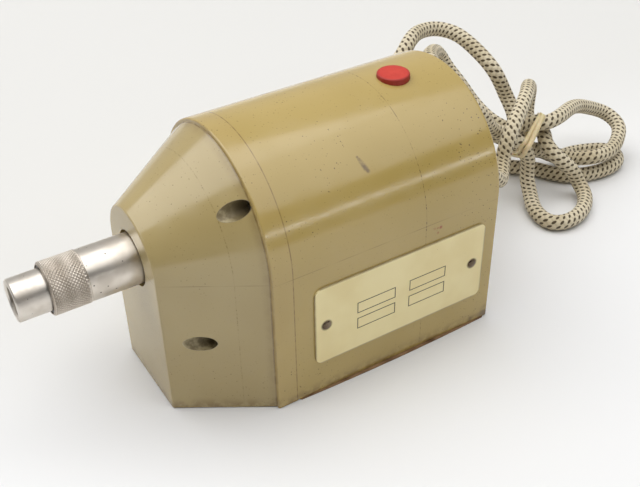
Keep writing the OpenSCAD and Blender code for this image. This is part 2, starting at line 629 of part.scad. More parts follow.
// Across the laminations the coil is long, so its sizes are height, then depth, about the bar
module round_coil_bar(x0, x1) translate([x0, (stack[0] + stack[1]) / 2, core_low + bar_h / 2])
    rotate([0, 90, 0]) linear_extrude(x1 - x0) children();
coil_end = core_x - limb_w - 0.4;
module coil_bobbin() color("#d8cfae") difference() {
    union() {
        round_coil_bar(-coil_end, coil_end) rounded(bar_h + 2.8, 22.8, 1);
        for (x = [-coil_end, coil_end - 1.2]) round_coil_bar(x, x + 1.2) rounded(25, 35, 3);
    }
    round_coil_bar(-20, 20) square([bar_h + 0.3, 20.3], center = true);
}

module coil_winding() color("#8c4a2c") round_coil_bar(0.1 - coil_end + 1.2, coil_end - 1.3) difference() {
    rounded(23, 33, 4);
    rounded(bar_h + 3, 23, 1);
}

// Cross bar with a hub for the bush and a pillar at each bolt
module bracket(bar_y, pillar_y0, pillar_y1, hub_y) difference() {
    union() {
        along_y(0, bar_y, axis_z) linear_extrude(bracket_t) rounded(54, 16, 3);
        for (sx = [-1, 1]) along_y(sx * bolt_x, pillar_y0, axis_z)
            cylinder(r = 4.5, h = pillar_y1 - pillar_y0);
        rod(hub_r, hub_y, hub_y + bush_l);
    }
    rod(bush_r + 0.02, hub_y - 1, hub_y + bush_l + 1);
    rod(hub_r - 1.4, hub_y + bush_l - 2, hub_y + bush_l + 1);
    for (sx = [-1, 1]) along_y(sx * bolt_x, pillar_y0 - 9, axis_z) cylinder(r = bolt_r + 0.1, h = 20);
}
front_hub_y = 2;
rear_hub_y = 42;
module front_bracket() color("#a8a8a2") bracket(front_bar_y, front_bar_y, stack[0], front_hub_y);
module rear_bracket() color("#a8a8a2") bracket(rear_bar_y, stack[1], rear_bar_y + bracket_t, rear_hub_y);

module bushes() color("#b08a4a") for (y = [front_hub_y, rear_hub_y])
    turned([[shaft_r + 0.03, y], [bush_r, y], [bush_r, y + bush_l], [shaft_r + 0.03, y + bush_l]]);

module felt_rings() color("#cfc6ae") for (y = [front_hub_y, rear_hub_y])
    turned([[bush_r + 0.1, y + 6.1], [hub_r - 1.5, y + 6.1], [hub_r - 1.5, y + 7.9],
        [bush_r + 0.1, y + 7.9]]);

module motor_bolts() color("#8d8d88") for (sx = [-1, 1]) along_y(sx * bolt_x, 0, axis_z) {
    translate([0, 0, web_front + 0.5]) cylinder(r = bolt_r, h = rear_bar_y + bracket_t - web_front - 0.5);
    translate([0, 0, rear_bar_y + bracket_t]) cylinder(r = 4, h = 2.8, $fn = 6);
}

terminal_x = [-10, 0, 10];
module terminal_block() color("#e4dfcf") difference() {
    translate([-15, 52, shell_base + plate_t]) cube([30, 14, 12]);
    for (x = terminal_x) {
        along_y(x, 51, 9) cylinder(r = 1.6, h = 16);
        for (y = [55.5, 62.5]) translate([x, y, 9]) cylinder(r = 1.9, h = 8);
    }
    for (x = [-5, 5]) translate([x - 0.6, 51, 11]) cube([1.2, 16, 5]);
}

module terminal_screws() color("#c9a94e") for (x = terminal_x, y = [55.5, 62.5])
    translate([x, y, 10.8]) difference() {
        cylinder(r = 1.8, h = 3);
        translate([-2, -0.3, 2.3]) cube([4, 0.6, 1]);
    }

// Insulated leads: cord to terminals, terminals to switch and coil, switch to coil
lead_r = 0.9;
lead_routes = [
    [[-1.7, 71, 17.9], [-2.5, 71.5, 13], [-7, 71, 10], [-10, 68, 9], [-10, 64, 9]],
    [[1.7, 71, 17.9], [2.5, 71.5, 13], [7, 71, 10], [10, 68, 9], [10, 64, 9]],
    [[-10, 54, 9], [-10, 50.5, 9], [-12, 48.5, 16], [-14, 49, 30], [-13, 51.5, 46],
        [-6, 58, 57], [-3.2, 61, 60.9]],
    [[8.8, 61, 60.9], [10.5, 58, 57], [13, 52, 48], [14, 49, 36], [10, 46, 28], [6, 43.6, 24]],
    [[10, 54, 9], [10, 50.5, 9], [11, 46.5, 9], [11, 43.5, 10]]];
module inner_leads() color("#3c4a6a") for (route = lead_routes) tube_along(curve(route, 2), lead_r, 6);

module cord_end() color("#e6dfcf") tube_along(curve(end_route, 2), cord_r, 6);

module cord_clamp() color("#5b4632") difference() {
    translate([-clamp_w / 2, clamp_y - clamp_l / 2, cord_z + 0.6]) cube([clamp_w, clamp_l, 5]);
    along_y(0, clamp_y - 4, cord_z) cylinder(r = cord_r + 0.2, h = 8);
    for (sx = [-1, 1]) translate([sx * clamp_screw_x, clamp_y, cord_z - 1]) cylinder(r = 1.6, h = 8);
}

module clamp_screws() color("#8d8d88") for (sx = [-1, 1])
    translate([sx * clamp_screw_x, clamp_y, cord_z + 5.6]) difference() {
        union() {
            translate([0, 0, -13]) cylinder(r = 1.45, h = 13);
            cylinder(r = 2.75, h = 2);
        }
        translate([-3, -0.45, 1.1]) cube([6, 0.9, 1]);
    }

// Rubber boot: its neck snaps into the back wall and its tapered end bends with the cord
module cord_boot() color("#3a3733") along_y(0, 0, cord_z) rotate_extrude() polygon(concat(
    [[0, back_y - 5], [7.5, back_y - 5], [7.5, back_y - wall - 0.05], [5.95, back_y - wall - 0.05],
        [5.95, back_y + 0.05], [8, back_y + 0.05], [8, back_y + 2.5]],
    [for (i = [0 : 3]) let (y = back_y + 2.5 + 5 * i, r = 6.9 - 0.55 * i) each [[r, y], [r - 0.3, y + 3.4],
        [r - 1.3, y + 3.4], [r - 1.3, y + 5]]],
    [[4.5, back_y + 22.5], [4.3, boot_y], [0, boot_y]]));

// Cord from the boot through all the tied loops to the spare cord, in one piece
module cord_bunch() color("#e6dfcf") {
    echo(bunch_gap_to_itself_mm = least_gap(curve(bunch_route, 5), cord_r, 12));
    tube_along(curve(bunch_route, 2), cord_r, 6);
}

// Spare cord: the turns spiral in, climb a layer over the half turn where they reverse, and spiral out
function coil_point(a) = let (turn = a / 360, r = coil_r - coil_pitch * min(turn, coil_turns - turn),
        climb = min(1, max(0, (a - 180 * coil_turns) / 180 + 0.5)))
    [coil_x + r * cos(a), coil_y - r * sin(a), floor_z + layer_h * climb];
coil_points = concat([[-52.5, 73, floor_z]], [for (a = [0 : 15 : 360 * coil_turns]) coil_point(a)],
    curve(plug_route, 2));
module cord_coil() color("#e6dfcf") {
    echo(coil_gap_to_itself_mm = least_gap(coil_points, cord_r, 3));
    tube_along(coil_points, cord_r, 6);
}

// Two-pin plug, flat on the bench
plug_l = 34;
pin_x = 9.5;
pin_r = 2;
module plug_body() color("#33302c") translate(plug_at) hull() {
    rotate([-90, 0, 0]) cylinder(r = 5, h = 1, $fn = 24);
    for (sx = [-1, 1], y = [14, plug_l - 1]) translate([sx * 10.5, y, 0]) rotate([-90, 0, 0])
        cylinder(r = 6.8, h = 1, $fn = 24);
}
module plug_pins() color("#c9a94e") for (sx = [-1, 1])
    along_y(plug_at.x + sx * pin_x, plug_at.y + plug_l, plug_at.z)
        rotate_extrude() polygon(concat([[0, 0], [pin_r, 0]], arc([0, 17], pin_r, 0, 90)));

module rubber_band() color("#c2ac7c") {
    u = unit(band_axis);
    e = unit(cross([0, 0, 1], u));
    f = cross(u, e);
    multmatrix([[e.x, f.x, u.x, band_at.x], [e.y, f.y, u.y, band_at.y], [e.z, f.z, u.z, band_at.z]])
        translate([0, 0, -band_w / 2]) linear_extrude(band_w) difference() {
            hull() for (p = band_strands) translate(p) circle(r = band_inner + band_t, $fn = 32);
            hull() for (p = band_strands) translate(p) circle(r = band_inner, $fn = 32);
        }
}

body_shell();
mounting_ring();
nose_housing();
housing_screws();
base_pad();
base_plate();
base_screws();
nameplate();
nameplate_pins();
button();
button_spring();
switch_bracket();
bracket_screws();
switch_body();
switch_nut();
switch_plunger();
switch_tags();
spindle();
lock_balls();
snap_ring();
chuck_sleeve();
sleeve_spring();
bearing_inner_race();
bearing_outer_race();
bearing_balls();
bearing_clip();
spindle_clip();
coupling_screw();
motor_shaft();
rotor_core();
rotor_cage();
stator_core();
coil_bar();
shading_rings();
coil_bobbin();
coil_winding();
front_bracket();
rear_bracket();
bushes();
felt_rings();
motor_bolts();
terminal_block();
terminal_screws();
inner_leads();
cord_end();
cord_clamp();
clamp_screws();
cord_boot();
cord_bunch();
cord_coil();
plug_body();
plug_pins();
rubber_band();
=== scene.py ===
import math

import bmesh
import bpy
import numpy as np
from mathutils import Matrix, Vector


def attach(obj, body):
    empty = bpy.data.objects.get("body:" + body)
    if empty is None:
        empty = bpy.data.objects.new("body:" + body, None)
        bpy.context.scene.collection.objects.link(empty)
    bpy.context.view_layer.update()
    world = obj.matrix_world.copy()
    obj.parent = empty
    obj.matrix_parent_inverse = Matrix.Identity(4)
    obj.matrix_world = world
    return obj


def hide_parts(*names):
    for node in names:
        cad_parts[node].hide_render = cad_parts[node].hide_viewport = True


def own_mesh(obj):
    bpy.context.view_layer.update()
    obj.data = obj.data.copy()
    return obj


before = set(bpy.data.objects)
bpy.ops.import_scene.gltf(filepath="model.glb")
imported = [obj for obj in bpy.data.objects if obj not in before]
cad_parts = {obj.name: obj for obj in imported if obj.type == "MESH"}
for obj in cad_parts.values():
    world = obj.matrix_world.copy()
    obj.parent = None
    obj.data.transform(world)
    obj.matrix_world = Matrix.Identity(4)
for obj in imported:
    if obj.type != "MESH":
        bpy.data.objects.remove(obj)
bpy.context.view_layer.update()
MM = 0.001

# Camera
# Fitted to the photograph: it stands in front, on the nameplate's side, and looks down on the housing.
# It is turned very slightly about its own axis.
camera_data = bpy.data.cameras.new("camera")
camera_data.sensor_fit = "HORIZONTAL"
camera_data.sensor_width = 36
camera_data.lens = 55.38
camera_data.clip_start, camera_data.clip_end = 0.01, 20
camera = bpy.data.objects.new("camera", camera_data)
bpy.context.scene.collection.objects.link(camera)
camera_at = (0.26016, -0.12674, 0.25989)
camera_right = Vector((0.52926, 0.84834, -0.01413))
camera_up = Vector((-0.5021, 0.32659, 0.80077))
camera_back = Vector((0.68394, -0.41672, 0.59881))
camera.matrix_world = Matrix.Translation(camera_at) @ Matrix(
    (camera_right, camera_up, camera_back)).transposed().to_4x4()
bpy.context.scene.camera = camera


# Cord
# Mains flex in a cream textile braid with nine rows of dark flecks. It leaves the boot in the back wall,
# is looped up five times and tied, and its spare length lies coiled behind the body, out of sight.
class Signal:
    """A number or vector that varies over a surface. Operators on it add the Math nodes that work it out."""

    def __init__(self, nodes, socket):
        self.nodes, self.socket = nodes, socket

    def math(self, operation, *values):
        return self.nodes.node("ShaderNodeMath", {"operation": operation}, dict(enumerate(values)))

    def __add__(self, other):
        return self.math("ADD", self, other)

    def __sub__(self, other):
        return self.math("SUBTRACT", self, other)

    def __rsub__(self, other):
        return self.math("SUBTRACT", other, self)

    def __mul__(self, other):
        return self.math("MULTIPLY", self, other)

    def __abs__(self):
        return self.math("ABSOLUTE", self)

    __radd__, __rmul__ = __add__, __mul__

    def wave(self):
        """Cosine of whole turns."""
        return self.math("COSINE", self * (2 * math.pi))

    def nearest(self):
        return self.math("ROUND", self)

    def root(self):
        return self.math("SQRT", self)

    def fade(self, start, end):
        """Smoothly from 0 at start to 1 at end; start may be the larger one."""
        low, high, turned = (start, end, False) if start < end else (end, start, True)
        return self.nodes.node("ShaderNodeMapRange", {"interpolation_type": "SMOOTHSTEP"}, {
            "Value": self, "From Min": low, "From Max": high,
            "To Min": 1.0 if turned else 0.0, "To Max": 0.0 if turned else 1.0})


class Nodes:
    """The nodes of a material or of the world. node() adds any of them; the rest are those used most."""

    def __init__(self, tree):
        self.tree = tree

    def node(self, kind, settings=None, inputs=None, output=0):
        made = self.tree.nodes.new(kind)
        for key, value in (settings or {}).items():
            setattr(made, key, value)
        for key, value in (inputs or {}).items():
            if isinstance(value, Signal):
                self.tree.links.new(value.socket, made.inputs[key])
            else:
                made.inputs[key].default_value = value
        return Signal(self, made.outputs[output])

    def place(self):
        return self.node("ShaderNodeTexCoord", output="Object")

    def split(self, vector):
        parts = self.node("ShaderNodeSeparateXYZ", None, {0: vector})
        return [Signal(self, out) for out in parts.socket.node.outputs]

    def stretch(self, x, y, z):
        return self.node("ShaderNodeMapping", None, {"Vector": self.place(), "Scale": (x, y, z)})

    def mix(self, mask, a, b):
        return self.node("ShaderNodeMix", {"data_type": "RGBA"}, {0: mask, 6: a, 7: b}, 2)

    def noise(self, scale, detail=2.0, at=None):
        return self.node("ShaderNodeTexNoise", None, {
            "Vector": at or self.place(), "Scale": scale, "Detail": detail})

    def cells(self, scale, output="Distance"):
        return self.node("ShaderNodeTexVoronoi", None, {"Vector": self.place(), "Scale": scale}, output)

    def dots(self, scale, size, share, more=0):
        """Round dots in some of the cells. A cell's random colour, taken as a grey, says if it has one."""
        luck = self.cells(scale, "Color")
        return self.cells(scale).fade(*size) * (luck + more if more else luck).fade(*share)


class Finish(Nodes):
    """A material. What is the same all over is set on its shader, and paint() links what varies."""

    def __init__(self, name, **constants):
        self.material = bpy.data.materials.new(name)
        self.material.use_nodes = True
        super().__init__(self.material.node_tree)
        self.shader = self.tree.nodes["Principled BSDF"]
        for key, value in constants.items():
            self.shader.inputs[key.replace("_", " ")].default_value = value

    def bump(self, height, distance, strength):
        self.paint(Normal=self.node("ShaderNodeBump", None, {
            "Height": height, "Distance": distance, "Strength": strength}))

    def paint(self, **varying):
        for key, value in varying.items():
            self.tree.links.new(value.socket, self.shader.inputs[key.replace("_", " ")])
        return self.material


def rgb(*screen):
    """A colour as read off a screen, over 10 and up to 255, in the linear values that shaders take."""
    return tuple(((c / 255 + 0.055) / 1.055) ** 2.4 for c in screen) + (1.0,)


CORD_R = 3.4 * MM
CORD_SIDES = 36
FLOOR_Z = 3.5
fold_route = [(0, 109, 34), (0, 116, 34), (-2.9, 125.1, 26.2), (-10.7, 132.5, 28.3), (-12.7, 135.7, 35.4),
              (-15.1, 140.7, 41.2), (-21.3, 150.3, 44.9), (-28.2, 159.6, 46.2), (-37.5, 169.3, 43.8),
              (-42.7, 175.5, 37.4), (-44, 176.6, 31.5), (-43.1, 175.8, 26.5), (-37.5, 172.7, 22.7)]
front_route = [(-23.5, 168.8, 25.8), (-17.8, 164.8, 24.6), (-10.7, 165.9, 20.4), (-6.2, 171.8, 14),
               (-3.5, 174.8, 7.4), (3.7, 173.2, FLOOR_Z), (11.6, 162.6, FLOOR_Z), (13.2, 152.3, FLOOR_Z),
               (9.3, 145.8, FLOOR_Z), (-1, 146.8, FLOOR_Z), (-9.8, 151.6, 5), (-15.1, 152.9, 12.5),
               (-15.6, 152.7, 21.7), (-16.1, 148.2, 29.7), (-20.9, 143.2, 34.2)]
upright_route = [(-23.3, 136.4, 37.8), (-20.8, 127.2, 48.9), (-24.5, 116.1, 61.3), (-30.8, 111.6, 69.4),
                 (-38.4, 111.8, 71.3), (-47.4, 118.4, 69.5), (-55.5, 128.5, 64.4), (-53.7, 133.2, 56.4),
                 (-46.5, 135.4, 50.6), (-41.8, 139.4, 42.7), (-34, 142, 37.5), (-29.2, 146.8, 33.5),
                 (-25.9, 151, 32), (-23.6, 161.4, 34.3)]
right_route = [(-20.2, 164.4, 33.5), (-20, 173.1, 34.3), (-28.3, 191.7, 30.4), (-32.4, 210, 21.7),
               (-28.9, 217.3, 17.8), (-21.5, 217.8, 14.4), (-14.7, 209.7, 11.7), (-10, 198.9, 11.7),
               (-10.1, 187.6, 12.8), (-15.7, 181.5, 11.8), (-20.5, 174, 13.9), (-23, 170.5, 16),
               (-25.8, 161, 19.1), (-30, 157, 26.5)]
arch_route = [(-35.2, 160.2, 32.3), (-42.3, 160.1, 39.8), (-45.2, 154.4, 52.2), (-55, 152.2, 58.5),
              (-66.9, 149.3, 63.2), (-74, 142.8, 65.1), (-73.2, 132.1, 66.7), (-67.1, 122.1, 67.5),
              (-61.8, 112.5, 62.8), (-65.1, 101.2, 49.3), (-61.9, 97.3, 36.2), (-60.6, 96.6, 17.9),
              (-57, 104, 5), (-60, 121, FLOOR_Z), (-59, 135, FLOOR_Z), (-55.9, 146.9, 5),
              (-46.2, 152.8, 19), (-37.5, 158.3, 18.4), (-31.9, 164.5, 12.5)]
low_route = [(-30.5, 174, 11), (-28.2, 184.7, 4.8), (-28.7, 195, FLOOR_Z), (-25.4, 204.6, FLOOR_Z),
             (-21.2, 211.2, FLOOR_Z), (-15, 211.8, FLOOR_Z), (-9.9, 206.2, FLOOR_Z), (-8.7, 196.8, FLOOR_Z),
             (-10.6, 186.8, FLOOR_Z), (-14.6, 178.4, FLOOR_Z), (-21, 173.6, FLOOR_Z), (-28, 169.7, FLOOR_Z),
             (-34.3, 162.3, FLOOR_Z), (-44, 153, FLOOR_Z)]
tail_route = [(-48, 142, FLOOR_Z), (-49, 130, FLOOR_Z), (-48, 118, FLOOR_Z), (-48, 104, FLOOR_Z),
              (-50, 92, FLOOR_Z), (-52.5, 80, FLOOR_Z), (-52.5, 73, FLOOR_Z)]
plug_route = [(-135.5, 73, 10.9), (-135, 80, 10), (-133, 90, 8), (-131, 98, 7), (-131, 105, 7)]
COIL_AT, COIL_R, COIL_PITCH, COIL_TURNS, COIL_LAYER = (-94, 66), 41.5, 7.6, 2.5, 7.4
COIL_STEP = 5.0


def curve_through(points, steps=12):
    """The smooth curve that the CAD source draws through the points of a route."""
    p = np.array(points, float)
    p = np.vstack([2 * p[0] - p[1], p, 2 * p[-1] - p[-2]])
    t = (np.arange(steps) / steps)[:, None]
    spans = [
        (2 * b + (c - a) * t + (2 * a - 5 * b + 4 * c - d) * t * t + (3 * b - a - 3 * c + d) * t ** 3) / 2
        for a, b, c, d in zip(p[:-3], p[1:-2], p[2:-1], p[3:])]
    return np.vstack(spans + [p[-2:-1]])


def coil_route():
    """The spare turns: they spiral in, climb a layer, and spiral out again on top."""
    degrees = np.arange(0, 360 * COIL_TURNS + COIL_STEP, COIL_STEP)
    turn, angle = degrees / 360, np.radians(degrees)
    radius = COIL_R - COIL_PITCH * np.minimum(turn, COIL_TURNS - turn)
    climb = np.clip((degrees - 180 * COIL_TURNS) / 180 + 0.5, 0, 1)
    return np.stack([COIL_AT[0] + radius * np.cos(angle), COIL_AT[1] - radius * np.sin(angle),
                     FLOOR_Z + COIL_LAYER * climb], 1)


def even_steps(points, spacing):
    """The same line in steps of one length, and that line's whole length."""
    along = np.concatenate([[0], np.cumsum(np.linalg.norm(np.diff(points, axis=0), axis=1))])
    at = np.linspace(0, along[-1], round(along[-1] / spacing) + 1)
    return np.stack([np.interp(at, along, points[:, k]) for k in range(3)], 1), along[-1]


def frames_along(points):
    """Two crossways directions at each point, carried along without twist."""
    tangent = np.gradient(points, axis=0)
    tangent /= np.linalg.norm(tangent, axis=1)[:, None]
    side = np.cross(tangent[0], (0, 0, 1) if abs(tangent[0][2]) < 0.9 else (1, 0, 0))
    sides = []
    for t in tangent:
        side = side - (side @ t) * t
        side = side / np.linalg.norm(side)
        sides.append(side)
    sides = np.array(sides)
    return sides, np.cross(tangent, sides)


def in_scene(name, bm, material, smooth=True):
    """An object at the origin with a bmesh's shape and one material."""
    mesh = bpy.data.meshes.new(name)
    bm.to_mesh(mesh)
    bm.free()
    if smooth:
        mesh.shade_smooth()
    mesh.materials.append(material)
    made = bpy.data.objects.new(name, mesh)
    bpy.context.scene.collection.objects.link(made)
    return made


def finished(name, bm, material, body, smooth=True):
    """A piece from its bmesh, riding on its body."""
    piece = in_scene(name, bm, material, smooth)
    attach(piece, body)
    return piece


def tube(points, radius, sides, relief=None):
    """A flat net of faces rolled into a closed tube round a line of points. Its UV map runs round and
    along; relief gives the height over the surface for those two."""
    bm = bmesh.new()
    uv = bm.loops.layers.uv.new("lay")
    bmesh.ops.create_grid(bm, x_segments=sides, y_segments=len(points) - 1, size=1, calc_uvs=True)
    flat = np.array([v.co for v in bm.verts])
    around, along = (flat[:, 0] + 1) / 2, (flat[:, 1] + 1) / 2
    ring = np.round(along * (len(points) - 1)).astype(int)
    side, across = frames_along(points)
    turn = around * 2 * math.pi
    outward = np.cos(turn)[:, None] * side[ring] + np.sin(turn)[:, None] * across[ring]
    reach = radius + (relief(around, along) if relief else 0 * around)
    rolled = points[ring] + reach[:, None] * outward
    for loop in (loop for face in bm.faces for loop in face.loops):
        loop[uv].uv = ((loop.vert.co.x + 1) / 2, (loop.vert.co.y + 1) / 2)
    for vert, place in zip(bm.verts, rolled):
        vert.co = place
    bmesh.ops.remove_doubles(bm, verts=bm.verts, dist=1e-7)
    bmesh.ops.holes_fill(bm, edges=[e for e in bm.edges if e.is_boundary], sides=0)
    bmesh.ops.recalc_face_normals(bm, faces=bm.faces)
    return bm


# one repeat of the braid along the cord, its rows of flecks round it, how far each of the two thread
# directions runs along from row to row, in repeats, and how far the threads stand proud
BRAID_PITCH = 2.6 * MM
BRAID_ROWS = 9
BRAID_LEAN, BRAID_BACK = 4 / 9, 5 / 9
PILLOW_HEIGHT = 0.1 * MM
# how fast a fleck ends across its row and along it, and how far it slants
FLECK_ACROSS, FLECK_ALONG, FLECK_SLANT = 7, 18, 0.45


def braid_finish(name, length):
    """Cream braid with dark flecks; the two thread directions are the diagonals of the UV map."""
    cloth = Finish(name, Roughness=0.85, Sheen_Weight=0.15, Sheen_Roughness=0.5, IOR=1.45)
    around, along, _ = cloth.split(cloth.node("ShaderNodeTexCoord", output="UV"))
    q, p = around * BRAID_ROWS, along * (length / BRAID_PITCH)
    row = q.nearest()
    s = p + row * BRAID_LEAN
    off_row, off_fleck = q - row, s - s.nearest()
    slant = off_fleck + off_row * FLECK_SLANT
    reach = (off_row * off_row * FLECK_ACROSS + slant * slant * FLECK_ALONG).root()
    wobble = cloth.noise(900, 1.0)
    fleck = (reach + wobble * 0.35).fade(1.28, 0.98)
    pillow = (1 - (p + q * BRAID_LEAN).wave()) * (1 - (p - q * BRAID_BACK).wave()) * 0.25
    worn = cloth.noise(55, 3.0).fade(0.42, 0.68)
    ground = cloth.mix(worn, rgb(216, 205, 178), rgb(196, 183, 152))
    # painted shade: the ground is darkened in the grooves between the braid's pillows
    ground = cloth.mix(pillow.fade(0.3, 0.0) * 0.3, ground, rgb(160, 142, 112))
    strand = cloth.noise(1500, 2.0)
    cloth.bump(pillow + strand * 0.25, 0.00018, 0.8)
    return cloth.paint(Base_Color=cloth.mix(fleck * 0.95, ground, rgb(64, 50, 28)))


def braid_relief(length):
    def height(around, along):
        q, p = around * BRAID_ROWS, along * length / BRAID_PITCH
        a, b = p + q * BRAID_LEAN, p - q * BRAID_BACK
        pillow = (1 - np.cos(2 * math.pi * a)) * (1 - np.cos(2 * math.pi * b)) / 4
        return (pillow - 0.4) * PILLOW_HEIGHT
    return height


CORD_STEP = BRAID_PITCH / 4
EASING_PASSES = 24
bunch = np.vstack([fold_route, front_route, upright_route, right_route, arch_route, low_route, tail_route])
cord_line = np.vstack([curve_through(bunch), coil_route(), curve_through(plug_route)]) * MM
cord_line, _ = even_steps(cord_line, CORD_STEP)
# a woven flex has no kinks: the tightest folds are eased by less than a millimetre
for _ in range(EASING_PASSES):
    cord_line[1:-1] = (cord_line[:-2] + 2 * cord_line[1:-1] + cord_line[2:]) / 4
cord_line, cord_length = even_steps(cord_line, CORD_STEP)
cord = finished("braided_cord", tube(cord_line, CORD_R, CORD_SIDES, braid_relief(cord_length)),
                braid_finish("cord_braid", cord_length), "housing")
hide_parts("cord_bunch", "cord_coil")

end_route = [(0, 80, 34), (0, 76.5, 34), (0, 73.5, 34), (0, 70.8, 32.4), (0, 70, 28), (0, 70.6, 23),
             (0, 71, 18)]
end_line, end_length = even_steps(curve_through(end_route) * MM, CORD_STEP)
cord_end = finished("cord_inner_end", tube(end_line, CORD_R, CORD_SIDES, braid_relief(end_length)),
                    braid_finish("end_braid", end_length), "housing")
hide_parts("cord_end")

# Tie
# A broad tan rubber band, slipped twice over the middle of the loops. Its second turn lies partly on the
# first, a little askew, and both grip the six outermost strands.
rubber = Finish("band_rubber", Roughness=0.45, IOR=1.5, Subsurface_Weight=0.25, Subsurface_Scale=0.6,
                Subsurface_Radius=(0.003, 0.0015, 0.0006))
streaks = rubber.noise(260, 2.0, rubber.stretch(1.0, 1.0, 3.0))
rubber.bump(streaks, 0.0001, 0.5)
rubber.paint(Base_Color=rubber.mix(streaks, rgb(232, 216, 178), rgb(206, 184, 136)))
# the band lies across u, and its outermost strands are circles at places in the plane of e and f
BAND_AT = Vector((-25.8, 160.6, 26.6)) * MM
band_u = Vector((0.71, 0.55, -0.43)).normalized()
band_e = Vector((0, 0, 1)).cross(band_u).normalized()
band_f = band_u.cross(band_e)
band_strands = [(-15.8, 2.9), (-14.4, 0.9), (-0.9, 7.7), (-0.5, 8.8), (5.6, -12.5), (6, -13.4)]
BAND_INNER, BAND_T, BAND_WIDTH = 3.5 * MM, 0.55 * MM, 2.1 * MM
BAND_RIPPLE, RIPPLE_ALONG_E, RIPPLE_ALONG_F = 0.25 * MM, 900, 700
STRAND_SIDES = 24


def outline_round(centres, radius):
    """The outline of a band drawn tight round circles of one radius."""
    bm = bmesh.new()
    for x, y in centres:
        bmesh.ops.create_circle(bm, segments=STRAND_SIDES, radius=radius,
                                matrix=Matrix.Translation((x * MM, y * MM, 0)))
    hull = bmesh.ops.convex_hull(bm, input=bm.verts)
    rim = [v.co.copy() for v in {v for v in hull["geom"] if isinstance(v, bmesh.types.BMVert)}
           - {v for v in hull["geom_interior"] if isinstance(v, bmesh.types.BMVert)}]
    bm.free()
    centre = sum(rim, Vector()) / len(rim)
    return sorted(rim, key=lambda c: math.atan2(c.y - centre.y, c.x - centre.x))


def band_turn(name, lift, offset, tilt):
    """One turn of the band: its rim is drawn, extruded to its width and thickened."""
    bm = bmesh.new()
    rim = [bm.verts.new(c) for c in outline_round(band_strands, BAND_INNER + lift)]
    edges = [bm.edges.new((a, b)) for a, b in zip(rim, rim[1:] + rim[:1])]
    bmesh.ops.extrude_edge_only(bm, edges=edges)
    for i, v in enumerate(bm.verts):
        roll = BAND_RIPPLE * math.sin(v.co.x * RIPPLE_ALONG_E + v.co.y * RIPPLE_ALONG_F)
        v.co.z = v.co.x * tilt + offset + roll + (BAND_WIDTH / 2 if i >= len(rim) else -BAND_WIDTH / 2)
    bmesh.ops.recalc_face_normals(bm, faces=bm.faces)
    bmesh.ops.solidify(bm, geom=bm.faces[:], thickness=BAND_T)
    bmesh.ops.recalc_face_normals(bm, faces=bm.faces)
    bm.transform(Matrix.Translation(BAND_AT) @ Matrix((band_e, band_f, band_u)).transposed().to_4x4())
    return finished(name, bm, rubber.material, "housing")


band = band_turn("rubber_band_first_turn", 0, -0.5 * MM, 0.03)
band_again = band_turn("rubber_band_second_turn", 0.6 * MM, 0.55 * MM, -0.04)
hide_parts("rubber_band")

# Boot and plug
# The boot is soft moulded rubber with ribs that let it bend; the plug is a hard two-pin moulding with
# turned brass pins. Both are slightly dusty and rubbed.
def dress(material, *nodes):
    """Gives CAD nodes their finish through their material slots."""
    for name in nodes:
        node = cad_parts[name]
        if not node.material_slots:
            node.data.materials.append(None)
        for place in node.material_slots:
            place.material = material


def rubbed(name, dark, light, roughness):
    """Plastic, rubber or ink with fine dust and a faint grain."""
    made = Finish(name, IOR=1.5)
    dust = made.noise(160, 4.0).fade(0.45, 0.75)
    made.bump(made.noise(2400, 1.0), 0.00002, 0.6)
    return made.paint(Base_Color=made.mix(dust, dark, light), Roughness=roughness + dust * 0.15)


dress(rubbed("boot_rubber", rgb(46, 43, 40), rgb(66, 62, 57), 0.6), "cord_boot")
dress(rubbed("plug_plastic", rgb(38, 33, 30), rgb(56, 50, 45), 0.32), "plug_body")


def metal(name, colour, worn_colour, roughness, along=(1, 1, 1), scale=300.0, scratch=0.00001):
    """Metal with drawn or turned marks, scratch deep, which along stretches. worn_colour lies in clouds."""
    made = Finish(name, Metallic=1.0)
    marks = made.noise(scale, 4.0, made.stretch(*along))
    blotch = made.noise(90, 2.0).fade(0.35, 0.75)
    made.bump(marks, scratch, 0.5)
    return made.paint(Base_Color=made.mix(blotch, colour, worn_colour), Roughness=roughness + marks * 0.12)


dress(metal("brass", rgb(205, 170, 95), rgb(176, 140, 78), 0.22),
      "plug_pins", "switch_tags", "switch_nut", "terminal_screws")

# Housing
# Body, ring and nose are glossy olive khaki mouldings, screwed together along the spindle. The plastic has
# dark specks, and dirt and dust have gathered in the mould lines, the joints and the counterbores. At the
# ring's step onto the nose and deep in the counterbores the darkening is also painted shade.
AXIS_Z, RING_Y, BODY_Y = 0.0565, -0.011, -0.0032
BORES = ((0.026, AXIS_Z + 0.0242), (0.0254, AXIS_Z - 0.0252))
BORE_R = 0.0031
BORE_DEPTHS = (-0.0431, -0.0426)
DUST_DEPTHS = (-0.013, -0.02)
HAIRLINE = (0.00022, 0.00008)
SHOULDER_Z = 0.075
speck_dark, fine_dark = rgb(52, 38, 20), rgb(84, 62, 32)
# line and foot dirt; the joint tone is dirt, and at the ring's step onto the nose also painted shade
line_dirt, joint_dirt_and_shade, foot_dirt = rgb(92, 72, 36), rgb(104, 76, 40), rgb(112, 84, 50)
# dust nearer the counterbores' mouths, and deeper in a tone that is dirt and painted shade
bore_dirt_and_shade, bore_dust = rgb(88, 74, 44), rgb(162, 150, 116)


def away(a, b):
    """Distance from an axis, by the two directions across it."""
    return (a * a + b * b).root()


